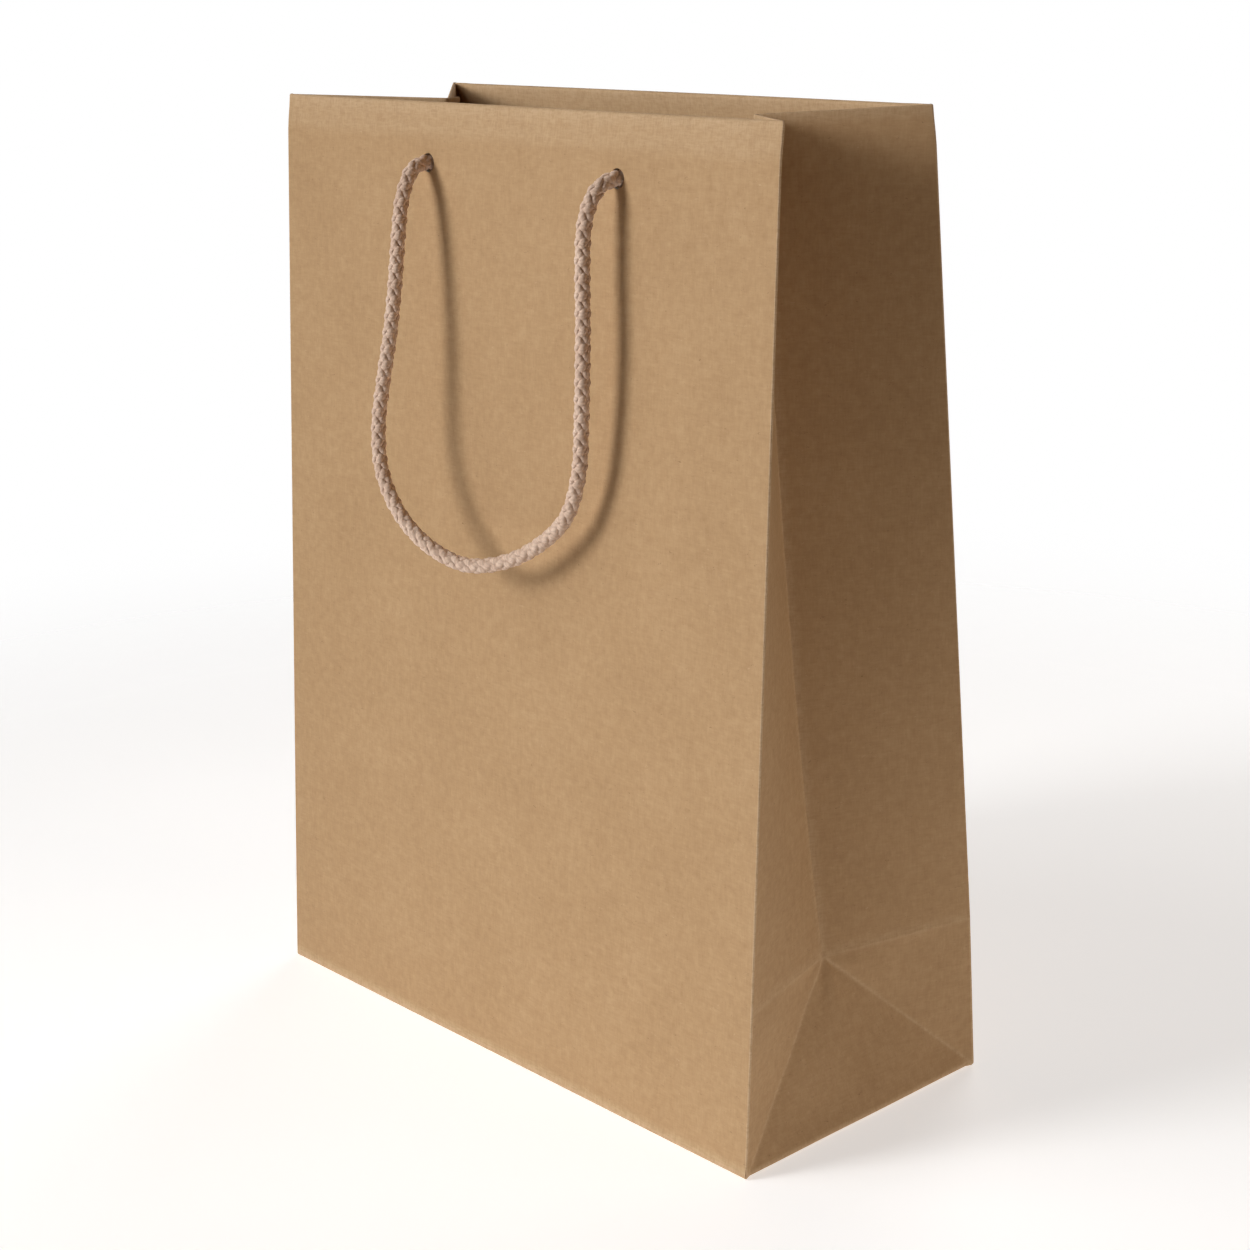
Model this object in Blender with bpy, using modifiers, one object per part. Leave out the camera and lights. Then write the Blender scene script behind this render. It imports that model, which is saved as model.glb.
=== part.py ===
"""Kraft paper gift bag with two rope handles, standing open.

World frame: metres, +Z up, the origin on the floor under the middle of the base, the front panel facing -Y.

Each panel has a frame of its own, in which its pieces are drawn: x runs along the panel's width, y up the
panel from its bottom edge, and z out of the bag, with z = 0 on the panel's outer face. The back frame is the
front frame turned half round, so one set of functions makes both. In a panel frame a side is +1 at +x and -1
at -x.
"""

import math

import bmesh
import bpy
from mathutils import Matrix, Vector

# Overall sizes
BAG_WIDTH = 0.240
BAG_DEPTH = 0.110
PANEL_HEIGHT = 0.320
MOUTH_INSET = 0.0195  # how far each panel's top edge leans in over its bottom edge
TOP_NARROWING = {"front": 0.001, "back": 0.006}  # how far each end of a top edge draws in, over the crease

# Sheet thicknesses, and the gap that touching sheets keep
PAPER = 0.0004
CARD = 0.0010
BOARD = 0.0012
GAP = 0.0003

# Top hem, stiffener card and rope holes
HEM_DEPTH = 0.038
CARD_DEPTH = 0.032
CARD_DROP = 0.002
HOLE_PLAY = 0.0010  # how much wider the rope's hole is than the rope
HOLE_DROP = 0.0195
HOLE_SPACING = 0.092
HOLE_SHIFT = 0.0066  # the pair of holes sits a little right of the middle, as the panel is seen

# Bottom
FLAP_LAP = 0.024
DUST_FLAP_LENGTH = 0.048
DUST_FLAP_TAPER = 0.022
BOTTOM_MARGIN = 0.0010
BOARD_CLEARANCE = 0.0020
SEAM_FLAP_WIDTH = 0.015
SEAM_FLAP_MARGIN = 0.006

# Rope and knots
ROPE_DIAMETER = 0.0052
ROPE_STANDOFF = 0.012  # the bend at each hole brings the rope this far off the panel
KNOT_WIDTH = 0.0140
KNOT_THICKNESS = 0.0105
KNOT_TAIL = 0.014
TAIL_SLOPE = 0.0004  # how much further off the hem the tail ends than the knot's middle

# Joint limits, in degrees, and how far a gusset half turns for each degree that its panel leans
WALL_OPENS = 3.0
WALL_CLOSES = 4.0
GUSSET_RATIO = 6.0

# The rope's route in the panel frame, from the left hole round the loop to the right one, in metres:
# distance from the middle of the pair of holes, height over the holes, distance off the panel.
ROPE_ROUTE = (
    (-0.0460, 0.0000, -0.0010),
    (-0.0460, 0.0000, 0.0015),
    (-0.0454, -0.0018, 0.0065),
    (-0.0444, -0.0064, 0.0102),
    (-0.0434, -0.0130, 0.0130),
    (-0.0420, -0.0246, 0.0154),
    (-0.0409, -0.0395, 0.0176),
    (-0.0406, -0.0545, 0.0198),
    (-0.0413, -0.0694, 0.0220),
    (-0.0412, -0.0842, 0.0240),
    (-0.0372, -0.0980, 0.0256),
    (-0.0280, -0.1103, 0.0256),
    (-0.0158, -0.1193, 0.0234),
    (-0.0020, -0.1238, 0.0190),
    (0.0122, -0.1210, 0.0145),
    (0.0255, -0.1135, 0.0114),
    (0.0364, -0.1030, 0.0100),
    (0.0421, -0.0886, 0.0103),
    (0.0440, -0.0729, 0.0113),
    (0.0448, -0.0571, 0.0119),
    (0.0448, -0.0412, 0.0121),
    (0.0441, -0.0263, 0.0120),
    (0.0440, -0.0145, 0.0116),
    (0.0446, -0.0064, 0.0096),
    (0.0455, -0.0018, 0.0062),
    (0.0460, 0.0000, 0.0015),
    (0.0460, 0.0000, -0.0010),
)
LOOP_START = 0.0170  # depth under the holes at which the swinging loop takes over from the fixed end
ROPE_SPACING = 0.0116
END_SPACING = 0.0050
FINE_SPACING = 0.0003

STRIP_ROWS = 14
HOLE_SIDES = 24

LEAN = math.asin(MOUTH_INSET / PANEL_HEIGHT)
HOLE_DIAMETER = ROPE_DIAMETER + HOLE_PLAY
CREASE = BAG_DEPTH / 2  # height of the crease that the panels lean on
STACK = PAPER + GAP + CARD + GAP + PAPER  # panel, card and hem together
HOLE_HEIGHT = PANEL_HEIGHT - HOLE_DROP
SIDES = {"left": -1, "right": 1}

FINISHES = {
    "kraft": {"colour": (0.50, 0.33, 0.19), "roughness": 0.75},
    "card": {"colour": (0.42, 0.34, 0.26), "roughness": 0.85},
    "rope": {"colour": (0.62, 0.45, 0.34), "roughness": 0.90},
}


# ---------------------------------------------------------------- Blender helpers


def clear_scene():
    for thing in list(bpy.data.objects):
        bpy.data.objects.remove(thing, do_unlink=True)


def new_collection(name):
    collection = bpy.data.collections.new(name)
    bpy.context.scene.collection.children.link(collection)
    return collection


def new_material(name, finish):
    material = bpy.data.materials.new(name)
    material.use_nodes = True
    shader = material.node_tree.nodes["Principled BSDF"]
    shader.inputs["Base Color"].default_value = (*finish["colour"], 1.0)
    shader.inputs["Roughness"].default_value = finish["roughness"]
    shader.inputs["Metallic"].default_value = 0.0
    return material


def new_empty(collection, name, location, parent=None, rotation=(0, 0, 0)):
    empty = bpy.data.objects.new(name, None)
    empty.empty_display_size = 0.02
    collection.objects.link(empty)
    empty.parent = parent
    empty.location = location
    empty.rotation_euler = rotation
    return empty


def new_part(collection, name, data, finish, hinge, offset=(0, 0, 0)):
    """An object drawn in the frame whose point `offset` the hinge empty marks."""
    part = bpy.data.objects.new(name, data)
    part.data.materials.append(new_material(name, FINISHES[finish]))
    collection.objects.link(part)
    part.parent = hinge
    part.location = -Vector(offset)
    return part


def plate_curve(name, outline, thickness, holes=()):
    """A flat sheet in the XY plane, centred on z = 0, with round holes given as (x, y, diameter)."""
    curve = bpy.data.curves.new(name, "CURVE")
    curve.dimensions = "2D"
    curve.fill_mode = "BOTH"
    curve.extrude = thickness / 2
    loops = [outline]
    for x, y, diameter in holes:
        turns = [2 * math.pi * k / HOLE_SIDES for k in range(HOLE_SIDES)]
        loops.append([(x + diameter / 2 * math.cos(a), y + diameter / 2 * math.sin(a)) for a in turns])
    for loop in loops:
        spline = curve.splines.new("POLY")
        spline.points.add(len(loop) - 1)
        for point, (x, y) in zip(spline.points, loop):
            point.co = (x, y, 0, 1)
        spline.use_cyclic_u = True
    return curve


def tube_curve(name, points, diameter):
    curve = bpy.data.curves.new(name, "CURVE")
    curve.dimensions = "3D"
    curve.bevel_depth = diameter / 2
    curve.bevel_resolution = 2
    curve.use_fill_caps = True
    spline = curve.splines.new("POLY")
    spline.points.add(len(points) - 1)
    for point, place in zip(spline.points, points):
        point.co = (*place, 1)
    return curve


def mesh_of(curve, name):
    """The curve as a mesh with its caps welded on, so that a Boolean can use it."""
    holder = bpy.data.objects.new(name, curve)
    bpy.context.scene.collection.objects.link(holder)
    bpy.context.view_layer.update()
    depsgraph = bpy.context.evaluated_depsgraph_get()
    mesh = bpy.data.meshes.new_from_object(holder.evaluated_get(depsgraph))
    bpy.data.objects.remove(holder, do_unlink=True)
    weld(mesh)
    return mesh


def weld(mesh):
    shape = bmesh.new()
    shape.from_mesh(mesh)
    bmesh.ops.remove_doubles(shape, verts=shape.verts, dist=0.00001)
    bmesh.ops.recalc_face_normals(shape, faces=shape.faces)
    shape.to_mesh(mesh)
    shape.free()


# ---------------------------------------------------------------- geometry helpers


def rectangle(x_low, x_high, y_low, y_high):
    return [(x_low, y_low), (x_high, y_low), (x_high, y_high), (x_low, y_high)]


def edge_distance(end, height):
    """Distance of a panel's side edge from its middle: the edges draw in a little over the crease."""
    rise = max(height - CREASE, 0) / (PANEL_HEIGHT - CREASE)
    return BAG_WIDTH / 2 - TOP_NARROWING[end] * rise


def between_edges(end, low, high, margin=0):
    """The outline of a layer on a panel that stops a margin short of both side edges."""
    at_low = edge_distance(end, low) - margin
    at_high = edge_distance(end, high) - margin
    return [(-at_low, low), (at_low, low), (at_high, high), (-at_high, high)]


def inset_polygon(corners, insets):
    """A convex polygon with each edge moved inwards; insets[k] belongs to the edge from corner k to k + 1."""
    count = len(corners)
    area = sum(
        corners[k][0] * corners[(k + 1) % count][1] - corners[(k + 1) % count][0] * corners[k][1]
        for k in range(count)
    )
    turn = 1 if area > 0 else -1
    lines = []
    for k in range(count):
        start = Vector(corners[k])
        along = (Vector(corners[(k + 1) % count]) - start).normalized()
        inward = Vector((-along.y, along.x)) * turn
        lines.append((start + inward * insets[k], along))
    moved = []
    for k in range(count):
        (p, a), (q, b) = lines[k - 1], lines[k]
        reach = ((q - p).x * b.y - (q - p).y * b.x) / (a.x * b.y - a.y * b.x)
        moved.append(tuple(p + a * reach))
    return moved


def smooth_route(points, spacing):
    """Points at an even spacing along the Catmull-Rom curve through the route's own points."""
    route = [Vector(p) for p in points]
    ends = [2 * route[0] - route[1], *route, 2 * route[-1] - route[-2]]
    fine = [route[0]]
    for a, b, c, d in zip(ends, ends[1:], ends[2:], ends[3:]):
        for k in range(1, 21):
            t = k / 20
            bend = (2 * a - 5 * b + 4 * c - d) * t**2 + (3 * b - a - 3 * c + d) * t**3
            fine.append(0.5 * ((2 * b) + (c - a) * t + bend))
    travelled = [0.0]
    for a, b in zip(fine, fine[1:]):
        travelled.append(travelled[-1] + (b - a).length)
    count = max(2, round(travelled[-1] / spacing) + 1)
    even = []
    step = 0
    for k in range(count):
        target = travelled[-1] * k / (count - 1)
        while step < len(fine) - 2 and travelled[step + 1] < target:
            step += 1
        share = (target - travelled[step]) / (travelled[step + 1] - travelled[step])
        even.append(fine[step].lerp(fine[step + 1], share))
    return even


def gusset_angle(height):
    """Angle at which a gusset half leaves the square of its panel, so that both halves meet in the middle."""
    half_depth = CREASE - height * math.sin(LEAN)
    return math.acos(half_depth / (CREASE * math.cos(LEAN)))


def closed_angle(height):
    return gusset_angle(height) + math.radians(GUSSET_RATIO * WALL_CLOSES)


def edge_clearance(angle, stack, own):
    """How far along a gusset half its sheet, `own` thick, is clear of layers `stack` thick on the panel."""
    return (stack + GAP + own * math.sin(angle)) / math.cos(angle)


def layer_margin(stack, own):
    """How far from the side edge a panel's inner layers stop, to be clear of the closed gusset half."""
    angle = closed_angle(PANEL_HEIGHT)
    return edge_clearance(angle, stack, own) * math.sin(angle) + own * math.cos(angle) + GAP


def gusset_reach(height):
    """How far a rigid gusset half may run from the side edge without passing the middle at any lean."""
    reaches = []
    for k in range(9):
        lean = math.radians(-WALL_OPENS + (WALL_OPENS + WALL_CLOSES) * k / 8)
        half_depth = CREASE - CREASE * math.sin(LEAN) - (height - CREASE) * math.sin(LEAN + lean)
        angle = max(gusset_angle(height) + GUSSET_RATIO * lean, 0)
        reaches.append((half_depth - GAP) / (math.cos(angle) * math.cos(LEAN + lean)))
    return min(min(reaches), CREASE - GAP)


# ---------------------------------------------------------------- panels and gussets


def hole_places():
    return [(HOLE_SHIFT + side * HOLE_SPACING / 2, HOLE_HEIGHT, HOLE_DIAMETER) for side in SIDES.values()]


def new_plate(collection, name, finish, hinge, offset, outline, outer_face, thickness, holes=()):
    """A flat sheet parallel to the panel, its outer face at z = outer_face."""
    part = new_part(collection, name, plate_curve(name, outline, thickness, holes), finish, hinge, offset)
    part.location.z += outer_face - thickness / 2
    return part


def panel_layers(collection, end, foot, wall, wall_at):
    top = PANEL_HEIGHT
    new_plate(
        collection, f"{end}_panel_foot", "kraft", foot, (0, 0, 0),
        between_edges(end, GAP, CREASE - GAP / 2), 0, PAPER,
    )
    new_plate(
        collection, f"{end}_panel", "kraft", wall, wall_at,
        between_edges(end, CREASE + GAP / 2, top), 0, PAPER, hole_places(),
    )
    margin = layer_margin(STACK, 2 * PAPER + GAP)
    new_plate(
        collection, f"{end}_stiffener_card", "card", wall, wall_at,
        between_edges(end, top - CARD_DROP - CARD_DEPTH, top - CARD_DROP, margin),
        -(PAPER + GAP), CARD, hole_places(),
    )
    new_plate(
        collection, f"{end}_top_hem", "kraft", wall, wall_at,
        between_edges(end, top - HEM_DEPTH, top, margin), -(STACK - PAPER), PAPER, hole_places(),
    )


def seam_flap(collection, wall, wall_at):
    """The lap that closes the sheet into a tube, glued inside the back panel."""
    outer = edge_distance("back", PANEL_HEIGHT) - SEAM_FLAP_MARGIN
    top = PANEL_HEIGHT - max(HEM_DEPTH, CARD_DROP + CARD_DEPTH) - GAP
    new_plate(
        collection, "glue_seam_flap", "kraft", wall, wall_at,
        rectangle(outer - SEAM_FLAP_WIDTH, outer, CREASE + GAP, top),
        -(PAPER + GAP), PAPER,
    )


def strip_mesh(name, end, side, low, top, start, reach, inset):
    """A ruled strip of a gusset half: rows up the side edge, each running inwards at that height's angle.

    low, start and reach are functions: low(distance) is the lowest height at that distance from the side
    edge, and start(height) and reach(height) are the row's two ends. The surface lies `inset` inside the half's
    outer face.
    """
    vertices, faces = [], []
    columns = 4
    for row in range(STRIP_ROWS + 1):
        for column in range(columns + 1):
            share = column / columns
            rough = low(0) + (top - low(0)) * row / STRIP_ROWS
            distance = start(rough) + (reach(rough) - start(rough)) * share
            height = low(distance) + (top - low(distance)) * row / STRIP_ROWS
            angle = gusset_angle(height)
            ruling = Vector((-side * math.sin(angle), 0, -math.cos(angle)))
            outward = Vector((side * math.cos(angle), 0, -math.sin(angle)))
            edge = Vector((side * edge_distance(end, height), height, 0))
            vertices.append(edge + ruling * distance - outward * inset)
    for row in range(STRIP_ROWS):
        for column in range(columns):
            corner = row * (columns + 1) + column
            face = [corner, corner + 1, corner + columns + 2, corner + columns + 1]
            faces.append(face if side > 0 else face[::-1])
    mesh = bpy.data.meshes.new(name)
    mesh.from_pydata(vertices, [], faces)
    return mesh


def new_strip(collection, name, hinge, hinge_at, mesh):
    part = new_part(collection, name, mesh, "kraft", hinge, hinge_at)
    part.data.shade_smooth()
    solid = part.modifiers.new("thickness", "SOLIDIFY")
    solid.thickness = PAPER
    solid.offset = -1
    return part


def gusset_half(collection, end, side_name, hinge, hinge_at):
    side = SIDES[side_name]

    def low(distance):
        return CREASE + GAP + distance * math.sin(math.radians(WALL_CLOSES))

    def start(height):
        return edge_clearance(closed_angle(height), PAPER, PAPER)

    def hem_start(height):
        return edge_clearance(closed_angle(height), PAPER, 2 * PAPER + GAP)

    name = f"{end}_{side_name}_gusset_half"
    mesh = strip_mesh(name, end, side, low, PANEL_HEIGHT, start, gusset_reach, 0)
    new_strip(collection, name, hinge, hinge_at, mesh)

    name = f"{end}_{side_name}_gusset_hem"
    mesh = strip_mesh(
        name, end, side, lambda distance: PANEL_HEIGHT - HEM_DEPTH, PANEL_HEIGHT, hem_start,
        lambda height: gusset_reach(height) - PAPER, PAPER + GAP,
    )
    new_strip(collection, name, hinge, hinge_at, mesh)


def corner_facet(collection, end, side_name, foot):
    """The folded corner under the gusset half: a right triangle on the panel's side edge."""
    side = SIDES[side_name]
    angle = gusset_angle(CREASE)
    outline = inset_polygon(
        [(0, 0), (CREASE, CREASE), (0, CREASE)],
        [2 * GAP, GAP / 2, edge_clearance(angle, PAPER, PAPER)],
    )
    name = f"{end}_{side_name}_corner_facet"
    curve = plate_curve(name, [(side * x, y) for x, y in outline], PAPER)
    part = new_part(collection, name, curve, "kraft", foot)
    ruling = Vector((-side * math.sin(angle), 0, -math.cos(angle)))
    outward = Vector((side * math.cos(angle), 0, -math.sin(angle)))
    up = Vector((0, 1, 0))
    turn = Matrix((side * ruling, up, outward)).transposed()
    part.rotation_euler = turn.to_euler()
    part.location = Vector((side * BAG_WIDTH / 2, 0, 0)) - outward * (PAPER / 2)
    return part


# ---------------------------------------------------------------- bottom


def triangle_tilt():
    """Lean of the base triangle from the vertical, which the two corner facets fix."""
    return math.acos((1 - math.sin(LEAN)) / math.cos(LEAN))


def base_triangle(collection, side_name, root):
    side = SIDES[side_name]
    outline = inset_polygon(
        [(-CREASE, 0), (CREASE, 0), (0, CREASE)],
        [GAP, 2 * GAP, 2 * GAP],
    )
    name = f"{side_name}_base_triangle"
    part = new_part(collection, name, plate_curve(name, outline, PAPER), "kraft", root)
    tilt = triangle_tilt()
    outward = Vector((side * math.cos(tilt), 0, math.sin(tilt)))
    up = Vector((-side * math.sin(tilt), 0, math.cos(tilt)))
    turn = Matrix((up.cross(outward), up, outward)).transposed()
    part.rotation_euler = turn.to_euler()
    part.location = Vector((side * BAG_WIDTH / 2, 0, 0)) - outward * (PAPER / 2)
    return part


def flat_in_base(collection, name, finish, root, outline, floor_height, thickness):
    part = new_part(collection, name, plate_curve(name, outline, thickness), finish, root)
    part.location.z = floor_height + thickness / 2
    return part


def bottom_pieces(collection, root):
    half_width = BAG_WIDTH / 2 - BOTTOM_MARGIN
    half_depth = BAG_DEPTH / 2 - BOTTOM_MARGIN
    lap = FLAP_LAP / 2
    flat_in_base(
        collection, "front_bottom_flap", "kraft", root,
        rectangle(-half_width, half_width, -half_depth, lap - GAP), 0, PAPER,
    )
    back_flap(collection, root, half_width, half_depth, lap)

    layer = 2 * (PAPER + GAP)
    root_x = half_width - 2 * BOTTOM_MARGIN
    for side_name, side in SIDES.items():
        tip_x = root_x - DUST_FLAP_LENGTH
        root_y = half_depth - BOTTOM_MARGIN
        tip_y = root_y - DUST_FLAP_TAPER
        outline = [(root_x, -root_y), (root_x, root_y), (tip_x, tip_y), (tip_x, -tip_y)]
        outline = [(side * x, y) for x, y in outline]
        flat_in_base(collection, f"{side_name}_dust_flap", "kraft", root, outline, layer, PAPER)

    board_floor = layer + PAPER + GAP
    board_top = board_floor + BOARD
    tilt = triangle_tilt()
    board_x = BAG_WIDTH / 2 - board_top * math.tan(tilt) - PAPER / math.cos(tilt) - BOARD_CLEARANCE
    board_y = BAG_DEPTH / 2 - board_top * math.tan(LEAN) - PAPER / math.cos(LEAN) - BOARD_CLEARANCE
    flat_in_base(
        collection, "bottom_board", "card", root,
        rectangle(-board_x, board_x, -board_y, board_y), board_floor, BOARD,
    )


def back_flap(collection, root, half_width, half_depth, lap):
    """The back bottom flap steps up and laps over the front one. Its outline in y, z is extruded along x."""
    upper = PAPER + GAP
    outline = [
        (half_depth, 0), (half_depth, PAPER), (lap + PAPER, PAPER), (lap + PAPER, upper + PAPER),
        (-lap, upper + PAPER), (-lap, upper), (lap, upper), (lap, 0),
    ]
    curve = plate_curve("back_bottom_flap", outline, 2 * half_width)
    part = new_part(collection, "back_bottom_flap", curve, "kraft", root)
    turn = Matrix(((0, 1, 0), (0, 0, 1), (1, 0, 0))).transposed()
    part.rotation_euler = turn.to_euler()
    return part


# ---------------------------------------------------------------- ropes


def rope_points():
    """The whole route, evenly spaced, from the left hole to the right one."""
    return smooth_route([(HOLE_SHIFT + x, HOLE_HEIGHT + y, z) for x, y, z in ROPE_ROUTE], FINE_SPACING)


def rope_handle(collection, end, hinge, hinge_at):
    """The hanging loop: the part of the route that lies deeper than the two fixed ends."""
    loop = [p for p in rope_points() if p.y < HOLE_HEIGHT - LOOP_START]
    name = f"{end}_rope_handle"
    tube = tube_curve(name, smooth_route(loop, ROPE_SPACING), ROPE_DIAMETER)
    new_part(collection, name, tube, "rope", hinge, hinge_at)


def rope_end(collection, cutters, end, side_name, wall, wall_at):
    """A fixed end: the knot behind the hem, its tail, and the rope through the hole and round the bend."""
    side = SIDES[side_name]
    knot = Vector((HOLE_SHIFT + side * HOLE_SPACING / 2, HOLE_HEIGHT, -(STACK + GAP + KNOT_THICKNESS / 2)))
    route = rope_points() if side < 0 else rope_points()[::-1]
    bend = []
    for point in route:
        if point.y < HOLE_HEIGHT - LOOP_START + GAP:
            break
        bend.append(point)
    name = f"{end}_{side_name}_knot"
    neck = [knot, *smooth_route(bend, END_SPACING)]
    neck_mesh = mesh_of(tube_curve(name, neck, ROPE_DIAMETER), name)
    part = new_part(collection, name, neck_mesh, "rope", wall, wall_at)

    tail = [knot, knot + Vector((0, -KNOT_TAIL, -TAIL_SLOPE))]
    join(part, cutters, mesh_of(tube_curve(f"{name}_tail", tail, ROPE_DIAMETER), f"{name}_tail"))
    bpy.ops.mesh.primitive_uv_sphere_add(segments=20, ring_count=12, radius=0.5)
    ball = bpy.context.active_object
    size = Matrix.Diagonal((KNOT_WIDTH, KNOT_WIDTH, KNOT_THICKNESS, 1))
    ball.data.transform(Matrix.Translation(knot) @ size)
    ball.data.name = f"{name}_ball"
    mesh = ball.data
    bpy.data.objects.remove(ball, do_unlink=True)
    join(part, cutters, mesh)


def join(part, cutters, mesh):
    """A Boolean union with a mesh drawn in the same frame as the part."""
    other = bpy.data.objects.new(mesh.name, mesh)
    cutters.objects.link(other)
    other.parent = part.parent
    other.location = part.location
    other.hide_render = True
    other.display_type = "WIRE"
    union = part.modifiers.new(mesh.name, "BOOLEAN")
    union.operation = "UNION"
    union.solver = "EXACT"
    union.object = other


# ---------------------------------------------------------------- the bag


def bag_end(collection, cutters, end, turned, root):
    """Everything that hangs on the front or the back panel frame."""
    bottom_edge = Vector((0, -BAG_DEPTH / 2, 0))
    bottom_edge.rotate(Matrix.Rotation(turned, 3, "Z"))
    upright = math.pi / 2 - LEAN
    foot = new_empty(collection, f"{end}_foot_frame", bottom_edge, root, (upright, 0, turned))
    wall_at = (0, CREASE, 0)
    wall = new_empty(collection, f"{end}_wall_hinge", wall_at, foot)
    panel_layers(collection, end, foot, wall, wall_at)

    for side_name, side in SIDES.items():
        corner_facet(collection, end, side_name, foot)
        hinge_at = Vector((side * BAG_WIDTH / 2, CREASE, 0))
        hinge = new_empty(collection, f"{end}_{side_name}_gusset_hinge", hinge_at - Vector(wall_at), wall)
        gusset_half(collection, end, side_name, hinge, hinge_at)
        rope_end(collection, cutters, end, side_name, wall, wall_at)

    handle_at = Vector((HOLE_SHIFT, HOLE_HEIGHT, ROPE_STANDOFF))
    handle = new_empty(collection, f"{end}_handle_hinge", handle_at - Vector(wall_at), wall)
    rope_handle(collection, end, handle, handle_at)
    if end == "back":
        seam_flap(collection, wall, wall_at)


def main():
    clear_scene()
    collection = new_collection("gift_bag")
    cutters = new_collection("gift_bag_cutters")
    root = new_empty(collection, "bag_base", (0, 0, 0))
    bottom_pieces(collection, root)
    for side_name in SIDES:
        base_triangle(collection, side_name, root)
    bag_end(collection, cutters, "front", 0, root)
    bag_end(collection, cutters, "back", math.pi, root)
    bpy.context.view_layer.update()


main()
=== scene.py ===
"""Looks of the kraft paper gift bag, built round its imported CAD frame.

Row frame: metres, +Z up, the front panel facing -Y. A panel frame has x along the panel, y up the
panel from its bottom edge and z out of the bag, with z = 0 on the panel's outer face, as in the
part's source. A sheet is drawn by its outer face and thickened inwards. A side is +1 at +x of its
panel frame and -1 at -x.
"""

import math

import bpy
from mathutils import Matrix, Vector


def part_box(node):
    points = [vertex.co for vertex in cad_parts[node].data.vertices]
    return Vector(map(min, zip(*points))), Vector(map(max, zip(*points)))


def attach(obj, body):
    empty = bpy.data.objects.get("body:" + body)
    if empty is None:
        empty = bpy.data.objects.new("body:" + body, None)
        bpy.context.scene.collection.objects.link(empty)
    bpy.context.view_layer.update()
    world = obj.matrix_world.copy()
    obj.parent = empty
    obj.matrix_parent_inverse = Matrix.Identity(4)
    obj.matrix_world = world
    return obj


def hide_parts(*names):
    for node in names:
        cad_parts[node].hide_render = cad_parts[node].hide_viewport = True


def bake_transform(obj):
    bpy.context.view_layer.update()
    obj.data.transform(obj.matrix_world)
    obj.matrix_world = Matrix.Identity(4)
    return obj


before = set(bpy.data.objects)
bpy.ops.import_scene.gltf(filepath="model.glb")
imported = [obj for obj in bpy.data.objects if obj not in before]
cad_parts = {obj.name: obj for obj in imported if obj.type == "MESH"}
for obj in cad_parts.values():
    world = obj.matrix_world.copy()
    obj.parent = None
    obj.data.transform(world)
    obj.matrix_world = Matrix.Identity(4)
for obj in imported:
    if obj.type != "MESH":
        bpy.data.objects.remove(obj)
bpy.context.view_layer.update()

# Sizes read from the frame
FOOT_LOW, FOOT_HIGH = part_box("front_panel_foot")
PANEL_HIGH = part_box("front_panel")[1]
BAG_WIDTH = FOOT_HIGH.x - FOOT_LOW.x
BAG_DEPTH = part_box("back_panel_foot")[1].y - FOOT_LOW.y

# Sizes repeated from the part's source
PAPER = 0.0004
GAP = 0.0003
CARD = 0.0010
HEM_DEPTH = 0.038
CARD_DEPTH = 0.032
CARD_DROP = 0.002
HOLE_DIAMETER = 0.0062
HOLE_DROP = 0.0195
HOLE_SPACING = 0.092
HOLE_SHIFT = 0.0066
FLAP_LAP = 0.024
SEAM_FLAP_WIDTH = 0.015
SEAM_FLAP_MARGIN = 0.006
TOP_NARROWING = {"front": 0.001, "back": 0.006}
ROPE_ROUTE = (
    (-0.0460, 0.0000, -0.0010),
    (-0.0460, 0.0000, 0.0015),
    (-0.0454, -0.0018, 0.0065),
    (-0.0444, -0.0064, 0.0102),
    (-0.0434, -0.0130, 0.0130),
    (-0.0420, -0.0246, 0.0154),
    (-0.0409, -0.0395, 0.0176),
    (-0.0406, -0.0545, 0.0198),
    (-0.0413, -0.0694, 0.0220),
    (-0.0412, -0.0842, 0.0240),
    (-0.0372, -0.0980, 0.0256),
    (-0.0280, -0.1103, 0.0256),
    (-0.0158, -0.1193, 0.0234),
    (-0.0020, -0.1238, 0.0190),
    (0.0122, -0.1210, 0.0145),
    (0.0255, -0.1135, 0.0114),
    (0.0364, -0.1030, 0.0100),
    (0.0421, -0.0886, 0.0103),
    (0.0440, -0.0729, 0.0113),
    (0.0448, -0.0571, 0.0119),
    (0.0448, -0.0412, 0.0121),
    (0.0441, -0.0263, 0.0120),
    (0.0440, -0.0145, 0.0116),
    (0.0446, -0.0064, 0.0096),
    (0.0455, -0.0018, 0.0062),
    (0.0460, 0.0000, 0.0015),
    (0.0460, 0.0000, -0.0010),
)

RISE = PANEL_HIGH.z
INSET = PANEL_HIGH.y - PAPER + BAG_DEPTH / 2
PANEL_HEIGHT = math.hypot(RISE, INSET)
LEAN = math.atan2(INSET, RISE)
CREASE = BAG_DEPTH / 2
STACK = 2 * PAPER + 2 * GAP + CARD
HOLE_HEIGHT = PANEL_HEIGHT - HOLE_DROP
SIDES = {"left": -1, "right": 1}

# Folds of the paper
FOLD_RADIUS = 0.0005
FOOT_RADIUS = 0.0009
CREASE_RADIUS = 0.0006
EDGE_STACK = 0.0011  # thickness of the doubled paper at the mouth, clear of the card
HEM_START = 0.0058  # the hems keep this far from the vertical folds, so that the gussets can fold flat
HEM_BLEND = 0.0060
HEM_LEAST = 0.0022
ARC_STEPS = 6

# How far the paper is from flat
EASE_IN = 0.0008
EASE_DEPTH = 0.0125
BAND_PAINTED_HIGHLIGHT = 0.30  # the band that eases in is painted paler, a painted highlight for the light it catches as it tilts back
BAND_EDGE = 0.0030
BOW = {"front": 0.0003, "back": 0.0013}
BOW_DEPTH = 0.070
BELLY = 0.0007
WAVE = 0.00028

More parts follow.
